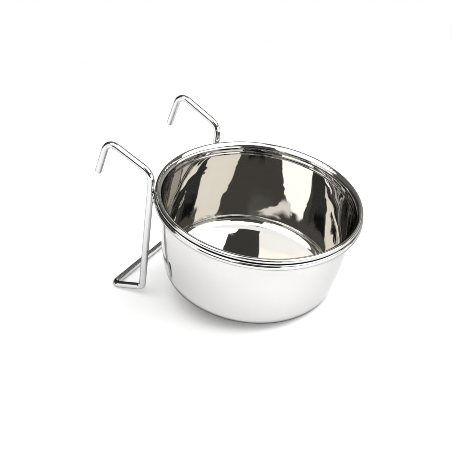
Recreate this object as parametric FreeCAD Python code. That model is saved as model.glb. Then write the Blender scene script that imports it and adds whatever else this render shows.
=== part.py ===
import FreeCAD, Part
import math
import os

# Hanging feeder cup for small livestock and poultry cages.
# A drawn steel bowl with a rolled rim drops into a wire ring.  One bent wire carries
# the ring: two hooks go over a cage wire and a foot below rests against the cage wall.
# Millimetres.  Origin: centre of the flat underside of the bowl.  +Z up along the bowl's
# axis, -Y towards the animal, +Y towards the cage wall with the hooks.

# ---- bowl -------------------------------------------------------------------------
rim_diameter = 120.0          # over the rolled rim
sheet = 0.5                   # thickness of the drawn sheet
bead_r = 1.4                  # outside radius of the rolled edge
bead_z = 54.4                 # height of the rolled edge's centre
flare_r = 3.98                # the rim flares out on this radius before it rolls over
flare_deg = 68.0              # turn of the flare, from upright
neck_top_z = 50.8             # the neck steps inwards below the rim
neck_height = 2.05
wall_top_r = 55.6             # outside radius of the wall just below the neck
wall_bow_r = 210.0            # the wall bows inwards on this radius
corner_r = 7.5                # outside radius between wall and base
curl_end_deg = -120.0         # where the sheet edge stops inside the rolled edge

# ---- wire frame ---------------------------------------------------------------------
wire_d = 4.0                  # both wires
ring_r = 58.43                # centre line of the ring
seat_gap = 0.3                # between the rolled edge and the ring
weld_gap = 0.05               # between ring and upright, filled by the weld
upright_x = 35.3              # half the distance between the two uprights
apex_x = 36.8                 # the hooks spread a little towards the cage wall
shoulder_z = 65.5             # where the upright bends into the arm
apex_y = 81.8                 # top corner of the hook
apex_z = 75.9
tip_y = 87.4                  # cut end of the hook
tip_z = 52.0
foot_low_z = -16.2            # where the upright bends into the foot
foot_y = 72.5                 # back corner of the foot, where the crossbar starts
foot_z = -25.0
hook_bend_r = 6.2             # centre-line radii of the bends
shoulder_bend_r = 8.3
foot_bend_r = 4.2
tip_round = 0.5               # rounding of the cut wire ends

# ---- welds --------------------------------------------------------------------------
weld_radial = 1.7             # half sizes of one weld
weld_across = 2.9
weld_height = 3.4
weld_drop = 0.8               # centre of the weld below the ring's centre line

wire_r = wire_d / 2.0
rim_r = rim_diameter / 2.0
ring_z = bead_z - bead_r - seat_gap - wire_r
upright_radius = ring_r + wire_d + weld_gap
upright_y = math.sqrt(upright_radius ** 2 - upright_x ** 2)

os.makedirs("parts", exist_ok=True)


def v(x, y, z=0.0):
    return FreeCAD.Vector(x, y, z)


def polar(cx, cz, radius, degrees):
    """Point of the bowl's section on a circle about (cx, cz)."""
    a = math.radians(degrees)
    return v(cx + radius * math.cos(a), 0, cz + radius * math.sin(a))


def arc(cx, cz, radius, start, end):
    """Section arc from start to end degrees about (cx, cz)."""
    points = [polar(cx, cz, radius, d) for d in (start, (start + end) / 2.0, end)]
    return Part.Arc(*points).toShape()


def line(p, q):
    return Part.makeLine(p, q)


def make_bowl():
    """Sheet section from the centre of the base, up the wall, round the rolled rim."""
    bead_x = rim_r - bead_r
    curl_mid_r = bead_r - sheet / 2.0
    flare_mid_r = flare_r - sheet / 2.0
    wall_mid_r = wall_top_r - sheet / 2.0
    flare_turn = math.radians(flare_deg)
    flare_x = bead_x + (flare_r - bead_r) * math.cos(flare_turn)
    flare_z = bead_z - (flare_r - bead_r) * math.sin(flare_turn)
    rim_mid_r = flare_x - flare_mid_r

    # The neck steps outwards from the wall to the rim in two equal bends.
    step = rim_mid_r - wall_mid_r
    neck_turn = 2.0 * math.atan(step / neck_height)
    neck_r = neck_height / (2.0 * math.sin(neck_turn))
    neck_angle = math.degrees(neck_turn)
    wall_top_z = neck_top_z - neck_height

    # The wall bows in from its top and runs into the corner.
    bow_x = wall_top_r - wall_bow_r
    drop = wall_top_z - corner_r
    corner_x = bow_x + math.sqrt((wall_bow_r - corner_r) ** 2 - drop ** 2)
    wall_angle = math.degrees(math.asin(drop / (wall_bow_r - corner_r)))

    def side(offset):
        """One face of the sheet, offset outwards from its middle."""
        half = offset * sheet / 2.0
        low_neck_x = wall_mid_r + neck_r
        high_neck_x = rim_mid_r - neck_r
        rim_face_x = rim_mid_r + half
        base_z = 0.0 if offset > 0 else sheet
        wall_r = wall_bow_r - (0.0 if offset > 0 else sheet)
        low_r = corner_r - (0.0 if offset > 0 else sheet)
        return [
            line(v(0, 0, base_z), v(corner_x, 0, base_z)),
            arc(corner_x, corner_r, low_r, -90, -wall_angle),
            arc(bow_x, wall_top_z, wall_r, -wall_angle, 0),
            arc(low_neck_x, wall_top_z, neck_r - half, 180, 180 - neck_angle),
            arc(high_neck_x, neck_top_z, neck_r + half, -neck_angle, 0),
            line(v(rim_face_x, 0, neck_top_z), v(rim_face_x, 0, flare_z)),
            arc(flare_x, flare_z, flare_mid_r - half, 180, 180 - flare_deg),
            arc(bead_x, bead_z, curl_mid_r - half, 180 - flare_deg, curl_end_deg),
        ]

    outer = side(1)
    inner = side(-1)
    closing = [
        line(v(0, 0, 0), v(0, 0, sheet)),
        line(
            polar(bead_x, bead_z, bead_r - sheet, curl_end_deg),
            polar(bead_x, bead_z, bead_r, curl_end_deg),
        ),
    ]
    wire = Part.Wire(Part.__sortEdges__(outer + inner + closing))
    return Part.Face(wire).revolve(v(0, 0, 0), v(0, 0, 1), 360)


def make_ring():
    """Closed wire ring under the rolled rim."""
    return Part.makeTorus(ring_r, wire_r, v(0, 0, ring_z), v(0, 0, 1))


def rounded_path(corners, radii):
    """Path through the corners with every inner corner rounded."""
    edges = []
    last = corners[0]
    for before, corner, after, radius in zip(corners, corners[1:], corners[2:], radii):
        a = (before - corner).normalize()
        b = (after - corner).normalize()
        half_angle = math.acos(max(-1.0, min(1.0, a.dot(b)))) / 2.0
        trim = radius / math.tan(half_angle)
        middle = (a + b).normalize()
        centre = corner + middle * (radius / math.sin(half_angle))
        start = corner + a * trim
        end = corner + b * trim
        edges.append(line(last, start))
        edges.append(Part.Arc(start, centre - middle * radius, end).toShape())
        last = end
    edges.append(line(last, corners[-1]))
    return Part.Wire(edges)


def make_hanger():
    """Hook, arm, upright and foot of one side, the crossbar, and the other side."""
    half = [
        v(-apex_x, tip_y, tip_z),
        v(-apex_x, apex_y, apex_z),
        v(-upright_x, upright_y, shoulder_z),
        v(-upright_x, upright_y, foot_low_z),
        v(-upright_x, foot_y, foot_z),
    ]
    mirrored = [v(-p.x, p.y, p.z) for p in reversed(half)]
    half_radii = [hook_bend_r, shoulder_bend_r, foot_bend_r, foot_bend_r]
    path = rounded_path(half + mirrored, half_radii + half_radii[::-1])
    heading = half[1] - half[0]
    section = Part.Wire(Part.makeCircle(wire_r, half[0], heading))
    hanger = path.makePipeShell([section], True, False)
    tips = []
    for edge in hanger.Edges:
        closed_circle = len(edge.Vertexes) == 1 and edge.Length < 7.0 * wire_r
        if closed_circle and abs(edge.CenterOfMass.z - tip_z) < 1.0:
            tips.append(edge)
    return hanger.makeFillet(tip_round, tips)


def make_weld(side, ring, hanger):
    """Flat-sided lump of weld metal in the corner between ring and upright."""
    a = math.atan2(upright_y, side * upright_x)
    contact_r = ring_r + wire_r + weld_gap / 2.0
    lump = Part.makeSphere(1.0)
    matrix = FreeCAD.Matrix()
    matrix.scale(weld_radial, weld_across, weld_height)
    lump = lump.transformGeometry(matrix)
    lump.rotate(v(0, 0, 0), v(0, 0, 1), math.degrees(a))
    lump.translate(v(contact_r * math.cos(a), contact_r * math.sin(a), ring_z - weld_drop))
    return lump.cut(ring).cut(hanger)


bowl = make_bowl()
ring = make_ring()
hanger = make_hanger()
solids = {
    "bowl": bowl,
    "support_ring": ring,
    "hanger_wire": hanger,
    "weld_left": make_weld(-1, ring, hanger),
    "weld_right": make_weld(1, ring, hanger),
}

for name, shape in solids.items():
    if shape.ShapeType != "Solid" and len(shape.Solids) == 1:
        shape = shape.Solids[0]
    shape.exportStep("parts/" + name + ".step")
    print(name, shape.ShapeType, shape.isValid(), round(shape.Volume, 1), shape.BoundBox)
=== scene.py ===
import bpy
import math
from mathutils import Matrix, Vector

# Hanging feeder cup: a mirror polished steel bowl in a welded wire frame, leaning on a white
# studio floor.  Metres, in the frame of the CAD part: the bowl stands upright at the origin, and
# the floor is tilted instead, because the real cup leans on its foot and the bowl's front edge.

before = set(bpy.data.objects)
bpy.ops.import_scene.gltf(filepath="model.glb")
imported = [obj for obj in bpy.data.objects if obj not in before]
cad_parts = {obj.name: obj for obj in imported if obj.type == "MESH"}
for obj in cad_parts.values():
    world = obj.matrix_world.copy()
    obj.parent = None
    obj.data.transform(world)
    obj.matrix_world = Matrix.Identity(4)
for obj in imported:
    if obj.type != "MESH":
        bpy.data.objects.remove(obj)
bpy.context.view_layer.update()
scene = bpy.context.scene
MM = 0.001

# ---- camera ---------------------------------------------------------------------------
CAMERA_AZIMUTH = -63.18           # degrees
CAMERA_ELEVATION = 35.70
CAMERA_ROLL = 8.14
CAMERA_DISTANCE = 0.5772
CAMERA_TARGET = Vector((-0.01383, 0.01182, 0.03645))
CAMERA_LENS = 79.65
CAMERA_SENSOR = 36.0

# ---- floor ----------------------------------------------------------------------------
FLOOR_TILT = 12.99                # degrees about X, to touch the foot and the bowl's edge
FLOOR_DROP = -10.1 * MM           # from the origin along the floor's normal
FLOOR_RADIUS = 0.45
TABLE_GLOW = 0.31                 # the white table is lit a little from below
PAINTED_SHADOW_INNER = 34 * MM               # painted contact shadow: no glow this close to the bowl's axis
PAINTED_SHADOW_OUTER = 51 * MM
FADE_FROM = 0.22                  # the far floor fades into the white backdrop
FADE_GLOW = 0.20
FLOOR_SEGMENTS = 96
FLOOR_RINGS = 12
CARD_TONE = (0.77, 0.79)          # darkest and palest grain of the card
CARD_GREEN = 0.01                 # the card is slightly cool
CARD_BLUE = 0.04
CARD_GRAIN = 900.0                # noise scale, per metre
CARD_BUMP = 0.2 * MM
CARD_BUMP_STRENGTH = 0.05
CARD_ROUGHNESS = 0.9
CARD_SHEEN = 0.1


def make_camera():
    """The photo's camera, aimed by its azimuth, elevation and roll."""
    az, el, roll = (math.radians(d) for d in (CAMERA_AZIMUTH, CAMERA_ELEVATION, CAMERA_ROLL))
    back = Vector((math.sin(az) * math.cos(el), -math.cos(az) * math.cos(el), math.sin(el)))
    right = (-back).cross(Vector((0, 0, 1))).normalized()
    up = right.cross(-back)
    rolled_right = right * math.cos(roll) + up * math.sin(roll)
    rolled_up = -right * math.sin(roll) + up * math.cos(roll)
    data = bpy.data.cameras.new("camera")
    data.sensor_width = CAMERA_SENSOR
    data.lens = CAMERA_LENS
    data.clip_start = 0.01
    data.clip_end = 20
    camera = bpy.data.objects.new("camera", data)
    pose = Matrix((rolled_right, rolled_up, back)).transposed().to_4x4()
    pose.translation = CAMERA_TARGET + back * CAMERA_DISTANCE
    camera.matrix_world = pose
    scene.collection.objects.link(camera)
    scene.camera = camera


# ---- node helpers -----------------------------------------------------------------------
class Nodes:
    """Small wrapper that builds and links shader nodes."""

    def __init__(self, tree):
        self.tree = tree
        tree.nodes.clear()

    def new(self, kind, inputs=None, **settings):
        node = self.tree.nodes.new(kind)
        for name, value in settings.items():
            setattr(node, name, value)
        for key, value in (inputs or {}).items():
            self.put(node.inputs[key], value)
        return node

    def put(self, socket, value):
        if isinstance(value, bpy.types.NodeSocket):
            self.tree.links.new(value, socket)
        else:
            socket.default_value = value

    def math(self, operation, a, b=0.0):
        """One arithmetic step on two values."""
        return self.new("ShaderNodeMath", {0: a, 1: b}, operation=operation).outputs[0]

    def hypot(self, a, b):
        """Length of the vector (a, b)."""
        squares = self.math("ADD", self.math("MULTIPLY", a, a), self.math("MULTIPLY", b, b))
        return self.math("SQRT", squares)

    def ramp(self, value, low, high, out_low=0.0, out_high=1.0, smooth=True):
        """Goes from out_low to out_high while value goes from low to high."""
        node = self.new(
            "ShaderNodeMapRange",
            {"Value": value, "From Min": low, "From Max": high,
             "To Min": out_low, "To Max": out_high},
            interpolation_type="SMOOTHSTEP" if smooth else "LINEAR",
            clamp=True,
        )
        return node.outputs[0]

    def noise(self, vector, scale, detail, roughness=0.5):
        node = self.new(
            "ShaderNodeTexNoise",
            {"Vector": vector, "Scale": scale, "Detail": detail, "Roughness": roughness},
        )
        return node.outputs[0]


# ---- studio -----------------------------------------------------------------------------
# Each panel is a softbox, drape or card, given by where it hangs as seen from the bowl, in
# degrees: longitude runs from -Y (0) by +X (90), latitude up from the level.  A later panel
# covers an earlier one, and edge is the width of its soft border.  A slanted side moves by so
# many degrees of longitude for each degree of latitude, and is at its own value at lean_from.
# A side at -180 or 180 and a low or high limit beyond 90 are open.
DRAPE = (0.17, 0.16, 0.145)       # what is seen between the panels
PANELS = [
    # name, west, east, low, high, edge, slant_west, slant_east, lean_from, radiance
    ("below", -180, 180, -95, -9, 3, 0, 0, 0, (1.30, 1.30, 1.30)),
    ("side_softbox", -163, -77, 17, 54, 3, -1.8, 0.2, 40, (2.46, 2.35, 2.11)),
    ("side_shade", -158, -84, 15, 28.5, 3, 0, 0, 0, (0.75, 0.73, 0.67)),
    ("side_low", -147, -118, -8, 19, 4, 0, 0, 0, (1.35, 1.35, 1.33)),
    ("side_stand", -116, -88, -14, 19, 3, 0, 0, 0, (0.025, 0.025, 0.025)),
    ("side_top", -180, -77, 51, 95, 6, 0, 0.2, 40, (2.05, 2.05, 2.0)),
    ("ceiling", -180, 66, 60, 95, 3, 0, 0, 0, (2.0, 2.0, 2.0)),
    ("ceiling_east", 64, 114, 56, 80, 3, 0, 0, 0, (0.9, 0.9, 0.9)),
    ("ceiling_north", 158, 180, 54, 95, 3, 0, 0, 0, (2.0, 2.0, 2.0)),
    ("ceiling_top", -180, 95, 78, 95, 3, 0, 0, 0, (2.0, 2.0, 2.0)),
    ("camera_gap", -77, -20, 24, 61, 2, 0, 0, 0, (0.092, 0.094, 0.090)),
    ("front_softbox", -10, 56, 33, 66, 1.5, -1.5, 2.0, 40, (3.7, 3.7, 3.6)),
    ("camera_head", -70, -23, 47, 55.4, 1.5, 0, 0, 0, (0.088, 0.088, 0.082)),
    ("camera_crown", -70, -23, 55, 60, 1.5, 0, -7, 54.8, (0.088, 0.088, 0.082)),
    ("front_low", -34, 50, -8, 24, 3, 0, 0, 0, (1.5, 1.5, 1.5)),
    ("camera_stand", -72, -34, -4, 38, 4, 0, 0, 0, (0.02, 0.02, 0.02)),
    ("valance", -88, 16, 25, 33, 2, 0, 0, 0, (0.19, 0.18, 0.165)),
    ("east_glow", 82, 136, 17, 33, 16, 0, 0, 0, (0.34, 0.34, 0.31)),
    ("east_card", 40, 104, 31.6, 36, 2.2, 0, -12, 32.5, (2.3, 2.26, 2.05)),
    ("east_low", 54, 96, -5, 19, 4, 0, 0, 0, (0.5, 0.5, 0.5)),
    ("east_window", 106, 121, 5, 20, 3, 0, 0, 0, (1.9, 1.9, 1.9)),
    ("west_low", -180, -150, -22, 28, 5, 0, 0, 0, (0.06, 0.06, 0.058)),
    ("north_edge", 126, 150, -6, 18, 4, 0, 0, 0, (0.02, 0.02, 0.02)),
    ("north_low", 148, 180, -4, 28, 5, 0, 0, 0, (0.04, 0.04, 0.04)),
    ("north_flag", 116, 158, 48, 76, 4, 0, 0, 0, (0.02, 0.02, 0.02)),
]


def make_studio():
    """World of soft panels in reflections, plain white behind the part."""
    world = bpy.data.worlds.new("studio")
    scene.world = world
    world.use_nodes = True
    n = Nodes(world.node_tree)
    direction = n.new("ShaderNodeTexCoord").outputs["Generated"]
    xyz = n.new("ShaderNodeSeparateXYZ", {0: direction})
    x, y, z = xyz.outputs
    lon = n.math("MULTIPLY", n.math("ARCTAN2", x, n.math("MULTIPLY", y, -1.0)), math.degrees(1))
    lat = n.math("MULTIPLY", n.math("ARCSINE", z), math.degrees(1))
    colour = n.new("ShaderNodeRGB").outputs[0]
    colour.default_value = (*DRAPE, 1)
    for _, west, east, low, high, edge, slant_west, slant_east, lean_from, radiance in PANELS:
        above = n.math("SUBTRACT", lat, lean_from)
        masks = []
        for limit, slant, sign in ((west, slant_west, 1), (east, slant_east, -1)):
            if limit in (-180, 180):
                continue
            shifted = n.math("SUBTRACT", lon, n.math("MULTIPLY", above, slant)) if slant else lon
            masks.append(n.ramp(shifted, limit - sign * edge / 2, limit + sign * edge / 2))
        for limit, sign in ((low, 1), (high, -1)):
            if abs(limit) < 90:
                masks.append(n.ramp(lat, limit - sign * edge / 2, limit + sign * edge / 2))
        mask = masks[0]
        for other in masks[1:]:
            mask = n.math("MULTIPLY", mask, other)
        mix = n.new("ShaderNodeMix", {0: mask}, data_type="RGBA")
        n.put(mix.inputs[6], colour)
        mix.inputs[7].default_value = (*radiance, 1)
        colour = mix.outputs[2]
    studio = n.new("ShaderNodeBackground", {"Color": colour})
    plain = n.new("ShaderNodeBackground", {"Color": (1, 1, 1, 1), "Strength": 1.0})
    path = n.new("ShaderNodeLightPath")
    both = n.new("ShaderNodeMixShader",
                 {0: path.outputs["Is Camera Ray"], 1: studio.outputs[0], 2: plain.outputs[0]})
    n.new("ShaderNodeOutputWorld", {"Surface": both.outputs[0]})


def make_light(name, lon, lat, strength, angle):
    """Soft sun from a direction given like a panel's; mirrors don't show it."""
    data = bpy.data.lights.new(name, "SUN")
    data.energy = strength
    data.angle = math.radians(angle)
    light = bpy.data.objects.new(name, data)
    light.visible_glossy = False
    a, e = math.radians(lon), math.radians(lat)
    towards = Vector((math.sin(a) * math.cos(e), -math.cos(a) * math.cos(e), math.sin(e)))
    light.rotation_mode = "QUATERNION"
    light.rotation_quaternion = towards.to_track_quat("Z", "Y")
    scene.collection.objects.link(light)


def make_floor():
    """Round white table that the part leans on."""
    tilt = math.radians(FLOOR_TILT)
    normal = Vector((0, math.sin(tilt), math.cos(tilt)))
    along = Vector((0, math.cos(tilt), -math.sin(tilt)))
    across = Vector((1, 0, 0))
    points = [normal * FLOOR_DROP]
    faces = []
    for ring in range(1, FLOOR_RINGS + 1):
        radius = FLOOR_RADIUS * ring / FLOOR_RINGS
        for k in range(FLOOR_SEGMENTS):
            a = 2 * math.pi * k / FLOOR_SEGMENTS
            spoke = across * radius * math.cos(a) + along * radius * math.sin(a)
            points.append(normal * FLOOR_DROP + spoke)
    for k in range(FLOOR_SEGMENTS):
        faces.append((0, 1 + k, 1 + (k + 1) % FLOOR_SEGMENTS))
    for ring in range(FLOOR_RINGS - 1):
        inner = 1 + ring * FLOOR_SEGMENTS
        outer = inner + FLOOR_SEGMENTS
        for k in range(FLOOR_SEGMENTS):
            after = (k + 1) % FLOOR_SEGMENTS
            faces.append((inner + k, outer + k, outer + after, inner + after))
    mesh = bpy.data.meshes.new("floor")
    mesh.from_pydata([tuple(p) for p in points], [], faces)
    mesh.update()
    floor = bpy.data.objects.new("floor", mesh)
    scene.collection.objects.link(floor)
    mesh.materials.append(make_white_card())


def make_white_card():
    """Pale grained card that glows a little, except in a painted shadow round the bowl's base.
    """
    material = bpy.data.materials.new("white_card")
    material.use_nodes = True
    n = Nodes(material.node_tree)
    place = n.new("ShaderNodeTexCoord").outputs["Object"]
    grain = n.noise(place, CARD_GRAIN, detail=3.0)
    tone = n.ramp(grain, 0.2, 0.8, *CARD_TONE, smooth=False)
    green = n.math("ADD", tone, CARD_GREEN)
    blue = n.math("ADD", tone, CARD_BLUE)
    colour = n.new("ShaderNodeCombineColor", {0: tone, 1: green, 2: blue})
    bump = n.new("ShaderNodeBump",
                 {"Height": grain, "Strength": CARD_BUMP_STRENGTH, "Distance": CARD_BUMP})
    shader = n.new("ShaderNodeBsdfPrincipled",
                   {"Base Color": colour.outputs[0], "Roughness": CARD_ROUGHNESS,
                    "Normal": bump.outputs[0]})
    shader.inputs["Specular IOR Level"].default_value = CARD_SHEEN
    shader.inputs["Emission Color"].default_value = (1, 1, 1, 1)
    xyz = n.new("ShaderNodeSeparateXYZ", {0: place})
    away = n.hypot(xyz.outputs[0], xyz.outputs[1])
    # The glow is cut out round the bowl's axis, a painted contact shadow, and the far floor
    # glows more.
    glow = n.math("ADD", n.ramp(away, PAINTED_SHADOW_INNER, PAINTED_SHADOW_OUTER, 0.0, TABLE_GLOW),
                  n.ramp(away, FADE_FROM, FLOOR_RADIUS, 0.0, FADE_GLOW))
    n.put(shader.inputs["Emission Strength"], glow)
    n.new("ShaderNodeOutputMaterial", {"Surface": shader.outputs[0]})
    return material


# ---- materials ----------------------------------------------------------------------------
# Painted shade in the groove between ring and rolled rim, darkest close to this point.
GROOVE_R = 58.5 * MM              # where ring and rolled rim come closest
GROOVE_Z = 52.85 * MM
GROOVE_DARK = 0.7 * MM            # distances from there
PAINTED_GROOVE_EDGE = 1.5 * MM
GROOVE_SHADE = 0.06
RIM_LOW = 52.0 * MM               # the tight bends of the rim darken towards their outline
RIM_HIGH = 53.4 * MM
RIM_EDGE = 0.1
OUTER_REFLECTANCE = 0.945              # the outside reflects a little less than the inside
PAINTED_CONTACT_SHADE_TOP = 2.5 * MM              # and as painted contact shade much less where the cup stands on it
BASE_BRIGHT = 4.0 * MM
BASE_FRINGE = 8.0 * MM
BASE_SHADE = 0.25
FACING_FULL = 10 * MM             # above this, normal times place means the outside
LINE_STRETCH = 0.004              # polishing lines run round the axis
WAVE_STRETCH = (0.55, 0.55, 1.0)
HAZE_SCALE = 60.0                 # uneven polish: roughness follows the haze
HAZE_RANGE = (0.35, 0.75)
BLOTCH_SCALE = 25.0               # and the colour follows the blotches
BLOTCH_RANGE = (0.3, 0.7)
BLOTCH_DEPTH = 0.97


def steel(name, tint, edge, rough_low, rough_high, line_scale, line_depth, wave_depth,
          wave_scale=75.0, two_faced=False):
    """Polished stainless steel: fine polishing lines, a little waviness, uneven polish.

    A two-faced sheet also reflects a little less outside, has painted contact shade at its base
    and darker edge reflections at its tight bends.
    """
    material = bpy.data.materials.new(name)
    material.use_nodes = True
    n = Nodes(material.node_tree)
    place = n.new("ShaderNodeTexCoord").outputs["Object"]
    xyz = n.new("ShaderNodeSeparateXYZ", {0: place})
    x, y, z = xyz.outputs
    radius = n.hypot(x, y)
    turn = n.math("MULTIPLY", n.math("ARCTAN2", y, x), LINE_STRETCH)
    turned = n.new("ShaderNodeCombineXYZ", {0: turn, 1: radius, 2: z})
    lines = n.noise(turned.outputs[0], line_scale, detail=3.0, roughness=0.6)
    flat = n.new("ShaderNodeVectorMath", {0: place, 1: WAVE_STRETCH}, operation="MULTIPLY")
    waves = n.noise(flat.outputs[0], wave_scale, detail=1.0, roughness=0.4)
    haze = n.noise(place, HAZE_SCALE, detail=4.0, roughness=0.6)
    patches = n.ramp(haze, *HAZE_RANGE, rough_low, rough_high)
    blotch = n.noise(place, BLOTCH_SCALE, detail=3.0, roughness=0.55)
    mix = n.new("ShaderNodeMix", {0: n.ramp(blotch, *BLOTCH_RANGE)}, data_type="RGBA")
    mix.inputs[6].default_value = (*(c * BLOTCH_DEPTH for c in tint), 1)
    mix.inputs[7].default_value = (*tint, 1)
    rough_wave = n.new("ShaderNodeBump",
                       {"Height": waves, "Strength": 1.0, "Distance": wave_depth})
    fine = n.new("ShaderNodeBump", {"Height": lines, "Strength": 1.0, "Distance": line_depth,
                                    "Normal": rough_wave.outputs[0]})
    # Painted shade: the colour darkens in the groove between ring and rolled rim.
    out = n.math("SUBTRACT", radius, GROOVE_R)
    up = n.math("SUBTRACT", z, GROOVE_Z)
    painted_shade = n.ramp(n.hypot(out, up), GROOVE_DARK, PAINTED_GROOVE_EDGE, GROOVE_SHADE, 1.0)
    if two_faced:
        normal = n.new("ShaderNodeTexCoord").outputs["Normal"]
        facing = n.new("ShaderNodeVectorMath", {0: normal, 1: place}, operation="DOT_PRODUCT")
        inside = n.ramp(facing.outputs["Value"], 0.0, FACING_FULL, 1.0, 0.0)
        # Painted contact shade: the outside darkens towards where the bowl stands.
        base = n.ramp(z, PAINTED_CONTACT_SHADE_TOP, BASE_BRIGHT, BASE_SHADE, OUTER_REFLECTANCE)
        painted_shade = n.math("MULTIPLY", painted_shade, n.math("MAXIMUM", base, inside))
        rim_fringe = n.ramp(z, RIM_LOW, RIM_HIGH, edge, RIM_EDGE)
        # Towards the base the edge tint drops too, so the corner's outline turns dark: painted
        # contact shade.
        low_fringe = n.ramp(z, BASE_BRIGHT, BASE_FRINGE, RIM_EDGE, edge)
        fringe = n.math("MINIMUM", rim_fringe, n.math("ADD", low_fringe, inside))
    tint_and_painted_shade = n.new("ShaderNodeVectorMath", {0: mix.outputs[2], 3: painted_shade}, operation="SCALE")
    shader = n.new("ShaderNodeBsdfPrincipled",
                   {"Base Color": tint_and_painted_shade.outputs[0], "Metallic": 1.0, "Roughness": patches,
                    "Normal": fine.outputs[0]})
    if two_faced:
        n.put(shader.inputs["Specular Tint"], fringe)
    else:
        shader.inputs["Specular Tint"].default_value = (edge, edge, edge, 1)
    n.new("ShaderNodeOutputMaterial", {"Surface": shader.outputs[0]})
    return material


def dress(node, material):
    """Gives a CAD node its finish through the object's own material slot."""
    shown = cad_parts[node]
    if not shown.material_slots:
        shown.data.materials.append(None)
    for slot in shown.material_slots:
        slot.link = "OBJECT"
        slot.material = material


make_camera()
make_studio()
make_floor()
make_light("key", lon=50, lat=54, strength=0.9, angle=45)

bowl_steel = steel("bowl_mirror", tint=(0.672, 0.664, 0.652), edge=0.86,
                   rough_low=0.02, rough_high=0.04, line_scale=9000.0, line_depth=1e-7,
                   wave_depth=3.5e-4, two_faced=True)
wire_steel = steel("wire_polish", tint=(0.66, 0.66, 0.662), edge=0.08,
                   rough_low=0.015, rough_high=0.035, line_scale=5000.0, line_depth=1e-7,
                   wave_depth=2e-5)
weld_steel = steel("weld_bead", tint=(0.55, 0.54, 0.53), edge=0.5,
                   rough_low=0.06, rough_high=0.14, line_scale=1500.0, line_depth=3e-5,
                   wave_depth=6e-4, wave_scale=700.0)
FINISHES = [
    # node, material, slot of the record
    ("bowl", bowl_steel, "polished_steel"),
    ("support_ring", wire_steel, "ring_steel"),
    ("hanger_wire", wire_steel, "wire_steel"),
    ("weld_left", weld_steel, "weld_metal"),
    ("weld_right", weld_steel, "weld_metal"),
]
for node, material, slot in FINISHES:
    dress(node, material)

scene.view_settings.view_transform = "Standard"
scene.view_settings.look = "None"
scene.cycles.filter_width = 0.9
scene.cycles.min_light_bounces = 8
scene.cycles.max_bounces = 16
scene.cycles.glossy_bounces = 10
scene.cycles.diffuse_bounces = 4
scene.cycles.sample_clamp_indirect = 4.0
